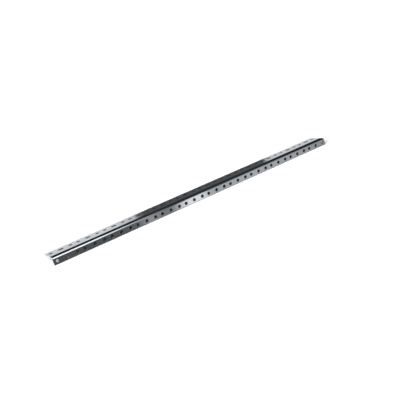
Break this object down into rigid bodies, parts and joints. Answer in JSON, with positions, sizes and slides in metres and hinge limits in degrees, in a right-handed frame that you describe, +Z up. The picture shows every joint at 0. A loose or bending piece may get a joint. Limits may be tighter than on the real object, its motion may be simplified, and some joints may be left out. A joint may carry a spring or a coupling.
{
  "type": "rack mounting rail",
  "caption": "Black steel angle rail for equipment racks, with slotted holes along the wide side leg and tapped holes along the narrow front leg.",
  "frame": {"origin": "on the floor, under the centre of the rail's bounding box", "axes": "+X along the rail, +Y from the front leg to the side leg, +Z up; the rail stands on the free edges of both legs, bend up"},
  "size_m": [0.5334, 0.0398, 0.0113],
  "materials": {
    "black_coat": "gloss"
  },
  "bodies": {
    "root": {"rack_rail": "black_coat"}
  },
  "joints": []
}
